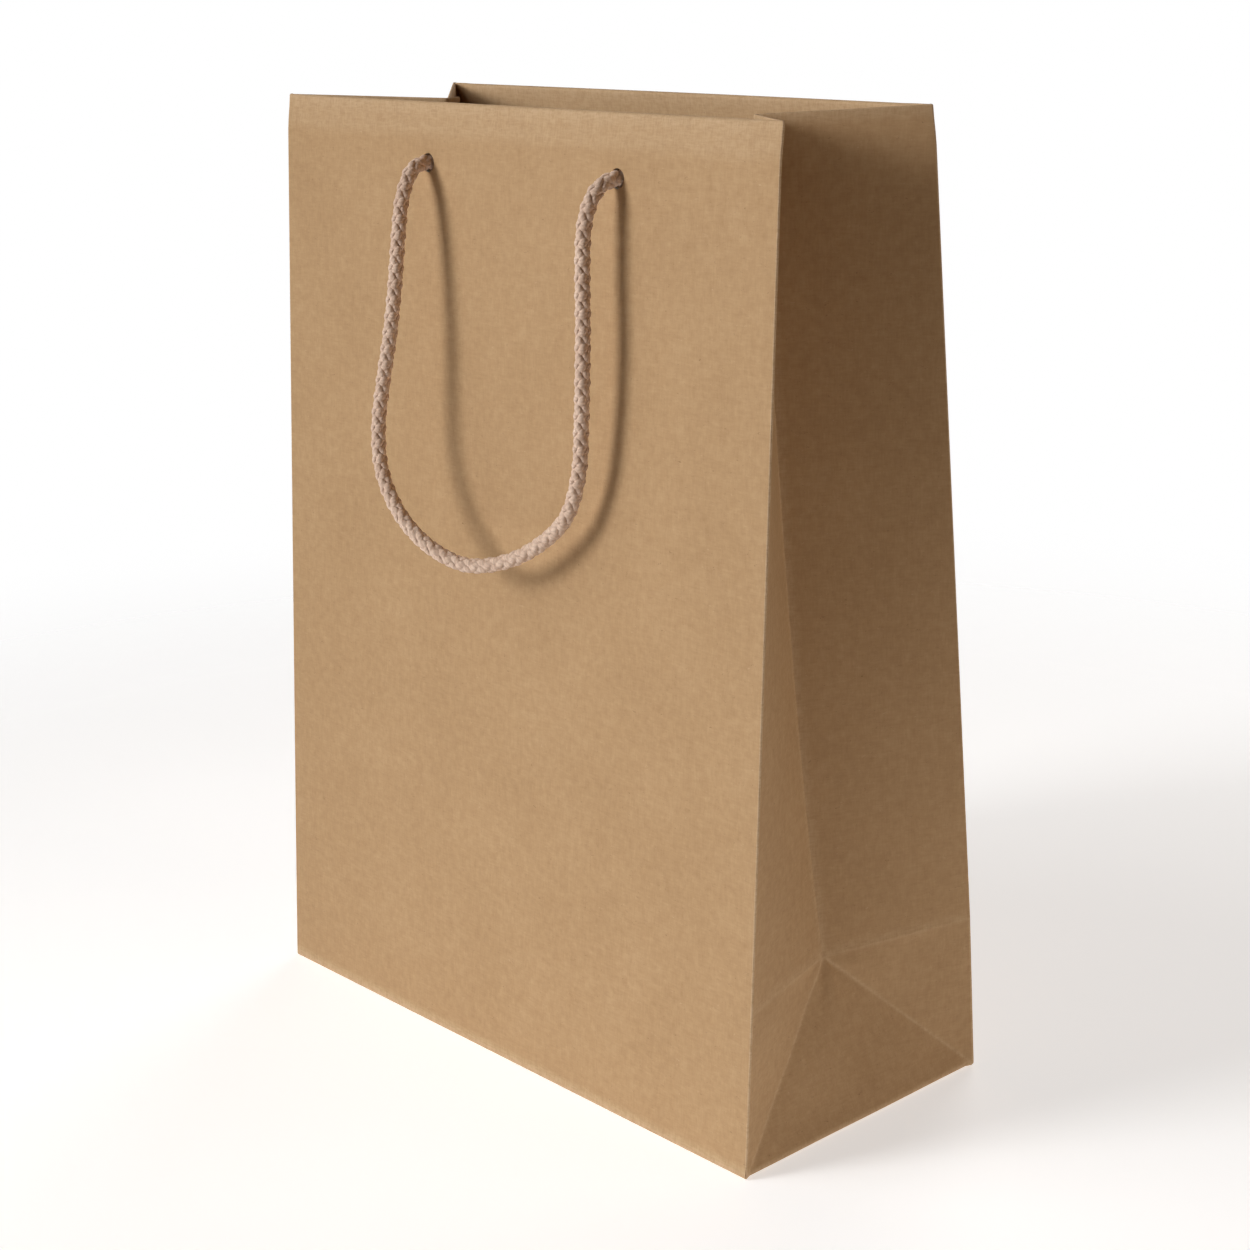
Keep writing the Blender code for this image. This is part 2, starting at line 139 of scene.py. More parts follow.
GUSSET_RIPPLE = 0.00045
GUSSET_SWAY = 0.0006
APEX_WRINKLE = 0.00050
CORNER_DENT = 0.00040

LIP = 0.0040  # the upper gusset reaches this far behind the lower one
LIP_INSET = 0.0005
CENTRE_LIP = 0.0085  # at its top the front half reaches this far behind the back half
CENTRE_LIP_FOOT = 0.0030
CENTRE_LIP_TURN = 0.62  # how steeply that lip turns inwards

# Small offsets in the walls
PUNCH_REACH = (0.004, -0.008)  # out of and into the panel
OVERLAP_JOG = (0.0014, 0.0002)  # where the back's bottom flap steps over the front's, before its end
JOG_RADIUS = 0.0008
FLAP_INSET = 0.0008
FLAP_DRAW = 0.0024
CARD_MARGIN = 0.0065

# Grids of the sheets
FLAP_STEPS = 10
PANEL_STEPS = 82
HEM_STEPS = 10
PANEL_COLUMNS = 56
GUSSET_COLUMNS = 16
GUSSET_STEPS = 66
HOLE_SIDES = 40
SHARP_ANGLE = 38

# Lower gusset
LOWER_CELLS = 44
LOWER_FOLD_RADIUS = 0.0007
FOOT_LIFT = 0.0003
FLAP_LEVEL = 0.00125  # inside its bottom fold the gusset turns up onto the two bottom flaps
FLAP_REACH = 0.0036
FLAP_ROWS = 6
SOFT = 0.0011

# Rope and knots
PLAIT_PITCH = 0.0208
STRANDS = 4  # each way round
STRAND_SIDES = 8
STRAND_WIDTH = 0.00124
STRAND_DEPTH = 0.00086
STRAND_RING = 0.00136  # from the rope's middle to a strand's
STRAND_RISE = 0.00036
CORE_RADIUS = 0.0014
ROPE_STEP = 0.0006
KNOT_SCALE = 0.88
KNOT_SIZE = 0.0020
KNOT_TAIL = 0.0165
KNOT_DEPTH = 0.0049
KNOT_POINTS = 15

KNOT_BEND = (0.25, 2 * math.pi * 0.83)  # the part of a closed trefoil that the knot follows
KNOT_TURN = 30
TAIL_BEND = (-0.0085, 0.0012)  # height and depth where the tail leaves the knot
TAIL_END = (0.0006, 0.0020)  # how far its end is shifted sideways and in depth

# Camera, fitted to the bag's corners
CAMERA_PLACE = (0.5804, -0.5154, 0.3700)
CAMERA_AZIMUTH = 47.896
CAMERA_ELEVATION = 16.32
CAMERA_ROLL = -1.424
CAMERA_LENS = 67.986
CAMERA_SENSOR = 36

FLOOR_REACH = 1.2
FLOOR_DROP = 0.0002

# Colours
AMBIENT = (0.050, 0.028, 0.014)
KRAFT_TONES = [(0.32, (0.405, 0.248, 0.121)), (0.50, (0.478, 0.304, 0.154)), (0.68, (0.550, 0.364, 0.196))]
CARD_TONES = [(0.35, (0.24, 0.20, 0.155)), (0.5, (0.33, 0.285, 0.225)), (0.65, (0.43, 0.375, 0.30))]
YARN_TONES = [(0.34, (0.62, 0.425, 0.31)), (0.5, (0.76, 0.56, 0.43)), (0.66, (0.86, 0.68, 0.55))]
PALE_FIBRE = (0.66, 0.49, 0.32)
# Paler kraft of the worn folds, and of the painted highlight on the band under the top edge
WORN_AND_PAINTED_LIGHT_KRAFT = (0.66, 0.48, 0.30)


# ---------------------------------------------------------------- small geometry


def smooth(share):
    share = min(max(share, 0), 1)
    return share * share * (3 - 2 * share)


def panel_place(end):
    """Matrix from a panel's frame to the row frame."""
    upright = Matrix.Translation((0, -BAG_DEPTH / 2, 0)) @ Matrix.Rotation(math.pi / 2 - LEAN, 4, "X")
    return upright if end == "front" else Matrix.Rotation(math.pi, 4, "Z") @ upright


def on_panel(end, x, y, z=0):
    return panel_place(end) @ Vector((x, y, z))


def fold_arc(corner, incoming, outgoing, radius, steps=2 * ARC_STEPS):
    """Points and normals along the round fold at a corner. The normals point away from the arc's centre."""
    turn = incoming.angle(outgoing)
    reach = radius * math.tan(turn / 2)
    inner = (outgoing - incoming * incoming.dot(outgoing)).normalized()
    centre = corner - incoming * reach + inner * radius
    arc = []
    for k in range(steps + 1):
        angle = turn * k / steps
        away = incoming * math.sin(angle) - inner * math.cos(angle)
        arc.append((centre + away * radius, away))
    return arc


def rounded_line(corners, radii, steps):
    """Points along a line in a plane with round corners; steps[k] is the number of steps on its leg k."""
    corners = [Vector(c) for c in corners]
    arcs = []
    for k in range(1, len(corners) - 1):
        incoming = (corners[k] - corners[k - 1]).normalized()
        outgoing = (corners[k + 1] - corners[k]).normalized()
        arcs.append([p for p, _ in fold_arc(corners[k], incoming, outgoing, radii[k - 1], ARC_STEPS)])
    line = []
    for k, count in enumerate(steps):
        start = arcs[k - 1][-1] if k else corners[0]
        stop = arcs[k][0] if k < len(arcs) else corners[-1]
        line += [start.lerp(stop, j / count) for j in range(count)]
        line += arcs[k][:-1] if k < len(arcs) else [corners[-1]]
    return line


def smooth_route(points, spacing):
    """Points at an even spacing along the Catmull-Rom curve through the route's own points."""
    route = [Vector(p) for p in points]
    ends = [2 * route[0] - route[1], *route, 2 * route[-1] - route[-2]]
    fine = [route[0]]
    for a, b, c, d in zip(ends, ends[1:], ends[2:], ends[3:]):
        for k in range(1, 21):
            t = k / 20
            cubic = (2 * a - 5 * b + 4 * c - d) * t**2 + (3 * b - a - 3 * c + d) * t**3
            fine.append(0.5 * ((2 * b) + (c - a) * t + cubic))
    travelled = [0.0]
    for a, b in zip(fine, fine[1:]):
        travelled.append(travelled[-1] + (b - a).length)
    count = max(2, round(travelled[-1] / spacing) + 1)
    even = []
    step = 0
    for k in range(count):
        target = travelled[-1] * k / (count - 1)
        while step < len(fine) - 2 and travelled[step + 1] < target:
            step += 1
        share = (target - travelled[step]) / (travelled[step + 1] - travelled[step])
        even.append(fine[step].lerp(fine[step + 1], share))
    return even


# ---------------------------------------------------------------- Blender helpers


def add_object(name, mesh, material):
    made = bpy.data.objects.new(name, mesh)
    bpy.context.scene.collection.objects.link(made)
    made.data.materials.append(material)
    return made


def grid_mesh(name, rows, flip=False, wear_and_painted_light=None, slants=None):
    """A sheet from rows of points, with one number for each point for how worn the paper is there and how
    much painted highlight it has.
    slants says for each column of cells whether its diagonals rise, and splits the cells along them."""
    width = len(rows[0])
    faces = []
    for r in range(len(rows) - 1):
        for c in range(width - 1):
            corner = r * width + c
            face = [corner, corner + 1, corner + width + 1, corner + width]
            parts = [face]
            if slants:
                turned = face if slants[c] else face[1:] + face[:1]
                parts = [turned[:3], [turned[0], turned[2], turned[3]]]
            faces.extend(part[::-1] if flip else part for part in parts)
    mesh = bpy.data.meshes.new(name)
    mesh.from_pydata([p for row in rows for p in row], [], faces)
    store(mesh, "wear_and_painted_light", [w for row in wear_and_painted_light for w in row] if wear_and_painted_light else [0.0] * len(mesh.vertices))
    return mesh


def store(mesh, name, values):
    attribute = mesh.attributes.new(name, "FLOAT", "POINT")
    attribute.data.foreach_set("value", values)


def apply_modifiers(thing):
    bpy.context.view_layer.update()
    depsgraph = bpy.context.evaluated_depsgraph_get()
    mesh = bpy.data.meshes.new_from_object(thing.evaluated_get(depsgraph))
    thing.modifiers.clear()
    thing.data = mesh


def thicken(thing, thickness):
    """Thickens a sheet inwards, with no point left below the floor or above the panels' top."""
    solid = thing.modifiers.new("thickness", "SOLIDIFY")
    solid.thickness = thickness
    solid.offset = -1
    apply_modifiers(thing)
    for vertex in thing.data.vertices:
        vertex.co.z = min(max(vertex.co.z, 0), RISE)


def finish_sheet(thing):
    thing.data.shade_smooth()
    thing.data.set_sharp_from_angle(angle=math.radians(SHARP_ANGLE))


def punch(thing, end):
    """Cuts the two rope holes through every layer of a wall piece."""
    for side in SIDES.values():
        cutter_mesh = bpy.data.meshes.new("cutter")
        count = HOLE_SIDES
        ring = []
        for depth in PUNCH_REACH:
            for k in range(count):
                angle = 2 * math.pi * k / count
                x = HOLE_SHIFT + side * HOLE_SPACING / 2 + HOLE_DIAMETER / 2 * math.cos(angle)
                y = HOLE_HEIGHT + HOLE_DIAMETER / 2 * math.sin(angle)
                ring.append(on_panel(end, x, y, depth))
        walls = [[k, k + count, (k + 1) % count + count, (k + 1) % count] for k in range(count)]
        caps = [list(range(count)), list(range(2 * count - 1, count - 1, -1))]
        cutter_mesh.from_pydata(ring, [], walls + caps)
        cutter = bpy.data.objects.new("cutter", cutter_mesh)
        bpy.context.scene.collection.objects.link(cutter)
        cut = thing.modifiers.new("hole", "BOOLEAN")
        cut.operation = "DIFFERENCE"
        cut.solver = "EXACT"
        cut.object = cutter
        apply_modifiers(thing)
        bpy.data.objects.remove(cutter, do_unlink=True)


# ---------------------------------------------------------------- material helpers


class Shader:
    """A Principled material and short calls that add nodes to it."""

    def __init__(self, name, **sockets):
        self.material = bpy.data.materials.new(name)
        self.material.use_nodes = True
        self.tree = self.material.node_tree
        self.shader = self.tree.nodes["Principled BSDF"]
        for socket, value in sockets.items():
            self.shader.inputs[socket.replace("_", " ")].default_value = value

    def add(self, kind, **settings):
        node = self.tree.nodes.new(f"ShaderNode{kind}")
        for setting, value in settings.items():
            setattr(node, setting, value)
        return node

    def link(self, value, socket):
        if isinstance(value, (int, float)):
            socket.default_value = value
        else:
            self.tree.links.new(value, socket)

    def place(self, stretch=(1, 1, 1), turn=(0, 0, 0)):
        mapping = self.add("Mapping")
        mapping.inputs["Scale"].default_value = stretch
        mapping.inputs["Rotation"].default_value = turn
        self.link(self.add("TexCoord").outputs["Object"], mapping.inputs["Vector"])
        return mapping.outputs["Vector"]

    def noise(self, place, scale, detail=3, distortion=0, roughness=0.55):
        node = self.add("TexNoise")
        self.link(place, node.inputs["Vector"])
        node.inputs["Scale"].default_value = scale
        node.inputs["Detail"].default_value = detail
        node.inputs["Distortion"].default_value = distortion
        node.inputs["Roughness"].default_value = roughness
        return node.outputs["Fac"]

    def math(self, operation, first, second=0.0):
        node = self.add("Math", operation=operation)
        self.link(first, node.inputs[0])
        self.link(second, node.inputs[1])
        return node.outputs[0]

    def spread(self, value, low, high, to_low=0.0, to_high=1.0):
        node = self.add("MapRange", interpolation_type="SMOOTHSTEP")
        self.link(value, node.inputs["Value"])
        node.inputs["From Min"].default_value = low
        node.inputs["From Max"].default_value = high
        node.inputs["To Min"].default_value = to_low
        node.inputs["To Max"].default_value = to_high
        return node.outputs["Result"]

    def ramp(self, value, stops):
        node = self.add("ValToRGB")
        elements = node.color_ramp.elements
        while len(elements) < len(stops):
            elements.new(0.5)
        for element, (place, colour) in zip(elements, stops):
            element.position = place
            element.color = (*colour, 1)
        self.link(value, node.inputs["Fac"])
        return node.outputs["Color"]

    def mix(self, share, first, second, blend="MIX"):
        node = self.add("Mix", data_type="RGBA", blend_type=blend)
        self.link(share, node.inputs[0])
        for value, socket in ((first, node.inputs[6]), (second, node.inputs[7])):
            if isinstance(value, tuple):
                socket.default_value = (*value, 1)
            else:
                self.link(value, socket)
        return node.outputs[2]

    def attribute(self, name):
        return self.add("Attribute", attribute_name=name).outputs["Fac"]

    def colour(self, value):
        self.link(value, self.shader.inputs["Base Color"])

    def roughness(self, value):
        self.link(value, self.shader.inputs["Roughness"])

    def bump(self, height, distance, strength=1.0):
        node = self.add("Bump")
        self.link(height, node.inputs["Height"])
        node.inputs["Distance"].default_value = distance
        node.inputs["Strength"].default_value = strength
        self.link(node.outputs["Normal"], self.shader.inputs["Normal"])


def kraft_paper():
    """Natural kraft: cloudy pulp, fine fibres both ways, a few dark and pale flecks, paler worn folds, and
    a painted highlight on the band under the top edge.
    """
    kraft = Shader("kraft_paper", Roughness=0.78, Specular_IOR_Level=0.35)
    plain = kraft.place()
    clouds = kraft.noise(plain, 26, 4)
    mottle = kraft.noise(plain, 330, 3)
    across = kraft.noise(kraft.place((1, 1, 6)), 260, 4, 0.4, 0.65)
    upward = kraft.noise(kraft.place((6, 6, 1)), 260, 4, 0.4, 0.65)
    grain = kraft.math("MULTIPLY", kraft.math("ADD", across, upward), 0.5)
    pulp = kraft.math("ADD", kraft.math("MULTIPLY", clouds, 0.20), kraft.math("MULTIPLY", mottle, 0.30))
    pulp = kraft.math("ADD", pulp, kraft.math("MULTIPLY", grain, 0.50))
    base = kraft.ramp(pulp, KRAFT_TONES)
    specks = kraft.noise(kraft.place((1, 1, 2.2)), 620, 2, 1.5)
    dark = kraft.spread(specks, 0.69, 0.76, 0, 0.55)
    pale = kraft.spread(specks, 0.31, 0.25, 0, 0.35)
    shade = kraft.mix(dark, base, (0.20, 0.105, 0.045))
    shade = kraft.mix(pale, shade, PALE_FIBRE)
    patchy = kraft.spread(grain, 0.38, 0.60, 0.35, 0.9)
    # Paler at the worn folds, and on the band under the top edge as a painted highlight
    worn = kraft.math("MULTIPLY", kraft.attribute("wear_and_painted_light"), patchy)
    kraft.colour(kraft.mix(worn, shade, WORN_AND_PAINTED_LIGHT_KRAFT))
    kraft.roughness(kraft.spread(grain, 0.3, 0.7, 0.86, 0.70))
    relief = kraft.math("ADD", kraft.math("MULTIPLY", grain, 0.6), kraft.math("MULTIPLY", mottle, 0.4))
    kraft.bump(relief, 0.00012, 0.5)
    return kraft.material


def grey_card():
    """Grey-brown recycled card with coarse flecks."""
    card = Shader("grey_card", Roughness=0.9, Specular_IOR_Level=0.25)
    plain = card.place()
    pulp = card.noise(plain, 420, 5, 0.3, 0.65)
    base = card.ramp(pulp, CARD_TONES)
    flecks = card.spread(card.noise(plain, 900, 2, 1.2), 0.66, 0.72, 0, 0.6)
    card.colour(card.mix(flecks, base, (0.12, 0.10, 0.085)))
    card.bump(pulp, 0.0002, 0.6)
    return card.material


def rope_yarn():
    """Twisted cotton-like yarn: fine plies wind round every strand. Painted shade darkens the hollows
    between the strands, the core and the grooves between the plies."""
    yarn = Shader(
        "rope_yarn", Roughness=0.92, Specular_IOR_Level=0.2, Sheen_Weight=0.25, Sheen_Roughness=0.6,
    )
    around = yarn.add("UVMap", uv_map="yarn").outputs["UV"]
    parts = yarn.add("SeparateXYZ")
    yarn.link(around, parts.inputs[0])
    along = yarn.math("MULTIPLY", parts.outputs["Y"], 900)
    turns = yarn.math("ADD", yarn.math("MULTIPLY", parts.outputs["X"], 3), along)
    plies = yarn.math("SINE", yarn.math("MULTIPLY", turns, 2 * math.pi))
    fuzz = yarn.noise(yarn.place(), 2600, 3, 0.8, 0.7)
    clouds = yarn.noise(yarn.place(), 120, 2)
    tone = yarn.math("ADD", yarn.math("MULTIPLY", fuzz, 0.6), yarn.math("MULTIPLY", clouds, 0.4))
    base = yarn.ramp(tone, YARN_TONES)
    # Painted shade: the yarn is painted dark where its painted light share is low, in the hollows between
    # strands and on the core
    hollow = yarn.spread(yarn.attribute("wear_and_painted_light"), 0.12, 0.88, 0.95, 0.0)
    base = yarn.mix(hollow, base, (0.22, 0.115, 0.07))
    # Painted shade in the grooves between the plies
    yarn.colour(yarn.mix(yarn.spread(plies, -1.0, 0.2, 0.22, 0.0), base, (0.36, 0.22, 0.15)))
    relief = yarn.math("ADD", yarn.math("MULTIPLY", plies, 0.35), yarn.math("MULTIPLY", fuzz, 0.8))
    yarn.bump(relief, 0.00012, 0.8)
    return yarn.material


def floor_paint():
    """Pale floor that glows a little, so that its shadows stay faint, and fades out into white."""
    floor = Shader("pale_floor", Roughness=0.9, Specular_IOR_Level=0.1)
    clouds = floor.noise(floor.place(), 4, 2)
    floor.colour(floor.ramp(clouds, [(0.3, (0.84, 0.84, 0.84)), (0.7, (0.88, 0.88, 0.88))]))
    floor.shader.inputs["Emission Color"].default_value = (1, 1, 1, 1)
    floor.shader.inputs["Emission Strength"].default_value = 0.55
    length = floor.add("VectorMath", operation="LENGTH")
    floor.link(floor.place(), length.inputs[0])
    fade = floor.spread(length.outputs["Value"], 0.30, 0.75)
    mixed = floor.add("MixShader")
    floor.link(fade, mixed.inputs[0])
    floor.link(floor.shader.outputs[0], mixed.inputs[1])
    floor.link(floor.add("BsdfTransparent").outputs[0], mixed.inputs[2])
    floor.link(mixed.outputs[0], floor.tree.nodes["Material Output"].inputs["Surface"])
    return floor.material


# ---------------------------------------------------------------- camera, light and floor


def direction(azimuth, elevation):
    """Unit vector away from the bag. Azimuth 0 is in front of it and grows towards +X, in degrees."""
    azimuth, elevation = math.radians(azimuth), math.radians(elevation)
    return Vector((
        math.sin(azimuth) * math.cos(elevation),
        -math.cos(azimuth) * math.cos(elevation),
        math.sin(elevation),
    ))


def add_camera():
    roll = math.radians(CAMERA_ROLL)
    back = direction(CAMERA_AZIMUTH, CAMERA_ELEVATION)
    right = Vector((0, 0, 1)).cross(back).normalized()
    up = back.cross(right)
    tilted_right = right * math.cos(roll) + up * math.sin(roll)
    tilted_up = up * math.cos(roll) - right * math.sin(roll)
    data = bpy.data.cameras.new("camera")
    data.sensor_width = CAMERA_SENSOR
    data.lens = CAMERA_LENS
    data.clip_start = 0.05
    data.clip_end = 20
    camera = bpy.data.objects.new("camera", data)
    bpy.context.scene.collection.objects.link(camera)
    turn = Matrix((tilted_right, tilted_up, back)).transposed().to_4x4()
    camera.matrix_world = Matrix.Translation(CAMERA_PLACE) @ turn
    bpy.context.scene.camera = camera


def add_light(name, away, distance, size, power, aim=(0, 0, 0.16), spread=180, colour=(1, 1, 1)):
    """An area light that stands off from the bag's middle and looks at aim. A narrow spread lets it
    fade away from there, as a softbox with a grid does."""
    data = bpy.data.lights.new(name, "AREA")
    data.shape = "DISK"
    data.size = size
    data.energy = power
    data.color = colour
    data.spread = math.radians(spread)
    light = bpy.data.objects.new(name, data)
    bpy.context.scene.collection.objects.link(light)
    light.location = Vector((0, 0, PANEL_HEIGHT / 2)) + away * distance
    light.rotation_euler = (light.location - Vector(aim)).to_track_quat("Z", "Y").to_euler()


def add_surroundings():
    world = bpy.data.worlds.new("studio")
    bpy.context.scene.world = world
    world.use_nodes = True
    nodes, links = world.node_tree.nodes, world.node_tree.links
    sky = nodes["Background"]
    path = nodes.new("ShaderNodeLightPath")
    colour = nodes.new("ShaderNodeMix")
    colour.data_type = "RGBA"
    colour.inputs[6].default_value = (*AMBIENT, 1)
    colour.inputs[7].default_value = (1, 1, 1, 1)
    links.new(path.outputs["Is Camera Ray"], colour.inputs[0])
    links.new(colour.outputs[2], sky.inputs["Color"])
    add_light(
        "key", direction(-22, 21), distance=1.7, size=0.60, power=2.35, aim=(0.25, 0, 0.30), spread=60,
    )
    add_light("front_fill", direction(-34, 42), distance=1.6, size=1.0, power=6.4)
    add_light("back_fill", direction(205, 35), distance=1.8, size=0.9, power=7)
    add_light(
        "side_fill", direction(122, 6), distance=1.6, size=0.8, power=4.8, colour=(1, 0.84, 0.68),
    )
    edges = (-FLOOR_REACH, FLOOR_REACH)
    rows = [[Vector((x, y, -FLOOR_DROP)) for x in edges] for y in edges]
    floor = add_object("floor", grid_mesh("floor", rows), floor_paint())


# ---------------------------------------------------------------- ropes


def moving_frames(points):
    """A tangent and two cross directions at every point of a path, turning as little as they can."""
    frames = []
    side = None
    for k, point in enumerate(points):
        tangent = (points[min(k + 1, len(points) - 1)] - points[max(k - 1, 0)]).normalized()
        if side is None:
            side = tangent.orthogonal()
        side = (side - tangent * side.dot(tangent)).normalized()
        frames.append((point, tangent, side, tangent.cross(side)))
    return frames


def strand_line(frames, turned, way, scale):
    """The middle line of one strand: its place, and how far it stands out, from 0 to 1, at each frame."""
    line = []
    for k, (point, _, side, other) in enumerate(frames):
        turn = 2 * math.pi * k * ROPE_STEP / PLAIT_PITCH
        angle = turned + way * turn
        outward = side * math.cos(angle) + other * math.sin(angle)
        over = way * math.cos(STRANDS * turn)
        radius = (STRAND_RING + STRAND_RISE * over) * scale
        line.append((point + outward * radius, outward, (over + 1) / 2))
    return line


def plait(name, path, material, scale=1.0):
    """A rope of strands that pass over and under each other round a core, along an evenly spaced path. Each
    point carries a share of painted light; the hollows and the core get little and are painted as shade.
    """
    frames = moving_frames(path)
    vertices, faces, around, painted_light_share = [], [], [], []

    def add_tube(line, half_width, half_depth, stands):
        first = len(vertices)
        for k, (centre, outward, _) in enumerate(line):
            ahead = (line[min(k + 1, len(line) - 1)][0] - line[max(k - 1, 0)][0]).normalized()
            across = ahead.cross(outward).normalized()
            for j in range(STRAND_SIDES):
                angle = 2 * math.pi * j / STRAND_SIDES
                lift = math.sin(angle)
                sideways = across * half_width * math.cos(angle)
                vertices.append(centre + sideways + outward * half_depth * lift)
                painted_light_share.append(stands(line[k][2], lift))
        for k in range(len(line) - 1):
            for j in range(STRAND_SIDES):
                low = first + k * STRAND_SIDES
                high = low + STRAND_SIDES
                after = (j + 1) % STRAND_SIDES
                faces.append((low + j, low + after, high + after, high + j))
                u, v = j / STRAND_SIDES, k * ROPE_STEP
                step = 1 / STRAND_SIDES
                around.extend([(u, v), (u + step, v), (u + step, v + ROPE_STEP), (u, v + ROPE_STEP)])
        last = first + (len(line) - 1) * STRAND_SIDES
        faces.append(tuple(range(first + STRAND_SIDES - 1, first - 1, -1)))
        faces.append(tuple(range(last, last + STRAND_SIDES)))
        around.extend([(0, 0)] * (2 * STRAND_SIDES))

    # Painted light share of a strand's point: lower where the strand dips under another and on its inner
    # side, which the yarn paints as shade
    def strand_painted_light(over, lift):
        return max(0, 0.35 + 0.4 * over + 0.4 * lift)

    for way in (1, -1):
        for k in range(STRANDS):
            line = strand_line(frames, 2 * math.pi * k / STRANDS, way, scale)
            add_tube(line, STRAND_WIDTH * scale, STRAND_DEPTH * scale, strand_painted_light)
    # The core gets no painted light, so the yarn paints it in full painted shade, a dark tube behind the
    # gaps between the strands
    core = [(point, side, 0) for point, _, side, _ in frames]
    add_tube(core, CORE_RADIUS * scale, CORE_RADIUS * scale, lambda over, lift: 0.0)

    mesh = bpy.data.meshes.new(name)
    mesh.from_pydata(vertices, [], faces)
    layer = mesh.uv_layers.new(name="yarn")
    layer.data.foreach_set("uv", [value for pair in around for value in pair])
    store(mesh, "wear_and_painted_light", [min(value, 1) for value in painted_light_share])
    mesh.shade_smooth()
    return add_object(name, mesh, material)


def rope_route():
    return smooth_route([(HOLE_SHIFT + x, HOLE_HEIGHT + y, z) for x, y, z in ROPE_ROUTE], ROPE_STEP)


def knot_route(side):
    """From the hole, round an overhand knot on the hem, and down its tail. Relative to the hole."""
    middle = -(STACK + GAP + KNOT_DEPTH)
    route = [Vector((0, 0, -0.0010)), Vector((0, 0, -0.0034))]
    for k in range(KNOT_POINTS):
        t = KNOT_BEND[0] + (KNOT_BEND[1] - KNOT_BEND[0]) * k / (KNOT_POINTS - 1)
        loop = Vector((
            math.sin(t) + 2 * math.sin(2 * t),
            math.cos(t) - 2 * math.cos(2 * t),
            -0.95 * math.sin(3 * t),
        ))
        loop.rotate(Matrix.Rotation(math.radians(KNOT_TURN), 3, "Z"))
        route.append(loop * KNOT_SIZE + Vector((0, 0, middle)))
    last = route[-1]
    route.append(Vector((last.x, TAIL_BEND[0], middle + TAIL_BEND[1])))
    route.append(Vector((last.x + TAIL_END[0], -KNOT_TAIL, middle + TAIL_END[1])))
    return [Vector((p.x * side, p.y, p.z)) for p in route]


def add_rope(end, material):
    path = [on_panel(end, *p) for p in rope_route()]
    rope = plait(f"{end}_rope", path, material)
    for side_name, side in SIDES.items():
        hole = Vector((HOLE_SHIFT + side * HOLE_SPACING / 2, HOLE_HEIGHT, 0))
        hole.z = wall_shift(end, hole.x, hole.y)
        route = smooth_route([hole + p for p in knot_route(side)], ROPE_STEP)
        knot_path = [on_panel(end, *p) for p in route]
        knot = plait(f"{end}_{side_name}_overhand_knot", knot_path, material, KNOT_SCALE)
        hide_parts(f"{end}_{side_name}_knot")
        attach(knot, f"{end}_wall")
    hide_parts(f"{end}_rope_handle")
    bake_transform(rope)


# ---------------------------------------------------------------- shape of the walls and gussets


def edge_distance(end, height):
    rise = max(height - CREASE, 0) / (PANEL_HEIGHT - CREASE)
    return BAG_WIDTH / 2 - TOP_NARROWING[end] * rise


def gusset_angle(height):
    half_depth = CREASE - height * math.sin(LEAN)
    return math.acos(min(1, half_depth / (CREASE * math.cos(LEAN))))


def wall_shift(end, x, height):
    """How far a wall's layers stand out from the flat: the top edge eases in, the sheet bows and waves."""
    up = height - CREASE
    ease = -EASE_IN * smooth((height - PANEL_HEIGHT + EASE_DEPTH) / EASE_DEPTH)
    if up <= 0:
        return ease
    middle = max(0, 1 - (x / edge_distance(end, height)) ** 2)
    bow = BOW[end] * middle * smooth((height - PANEL_HEIGHT + BOW_DEPTH) / BOW_DEPTH)
    free = smooth(up / 0.05) * smooth((PANEL_HEIGHT - height) / 0.05 + 0.15)
    belly = BELLY * middle * free * math.sin(math.pi * min(1, up / (PANEL_HEIGHT - CREASE)))
    phase = 0.7 if end == "front" else 2.9
    wave = math.sin(31 * x + 17 * height + phase) + 0.7 * math.sin(47 * height - 23 * x + 2 * phase)
    return ease + bow + belly + WAVE * wave * min(1, 2.2 * middle) * free


def side_corner(end, side, height):
    """Where panel and gusset would meet if the fold between them were sharp, in the panel frame."""
    turn = math.pi / 2 + gusset_angle(height)
    outset = FOLD_RADIUS * (math.tan(turn / 2) - 1)
    return Vector((side * (edge_distance(end, height) + outset), height, 0))


def crease_point(side, height):
    """The gusset's centre crease, level with that height up the panel, in the panel frame."""
    angle = gusset_angle(height)
    rise = max(height - CREASE, 0) / (PANEL_HEIGHT - CREASE)
    narrowing = sum(TOP_NARROWING.values()) / 2 * rise
    x = side * (BAG_WIDTH / 2 - narrowing - CREASE * math.sin(angle))
    return Vector((x, height, -CREASE * math.cos(angle)))


def side_fold(end, side, height):
    """The fold from the panel into its gusset, as points and outward normals in the panel frame."""
    corner = side_corner(end, side, height)
    inward = (crease_point(side, height) - corner).normalized()
    return fold_arc(corner, Vector((side, 0, 0)), inward, FOLD_RADIUS)


def doubled(distance):
    """Thickness of the layers and depth of the hem at that distance from a vertical fold."""
    share = smooth((distance - HEM_START + HEM_BLEND / 2) / HEM_BLEND)
    stack = EDGE_STACK + (STACK - EDGE_STACK) * smooth((distance - HEM_START) / HEM_BLEND)
    return stack, HEM_LEAST + (HEM_DEPTH - HEM_LEAST) * share


def stack_radius(distance):
    return doubled(distance)[0] / 2


# ---------------------------------------------------------------- walls


def floor_point(distance, height):
    """A point under the bag, at that distance in from the bottom edge, as height up the panel and depth."""
    up = distance * math.sin(LEAN) + height * math.cos(LEAN)
    depth = distance * math.cos(LEAN) - height * math.sin(LEAN)
    return (up, depth)


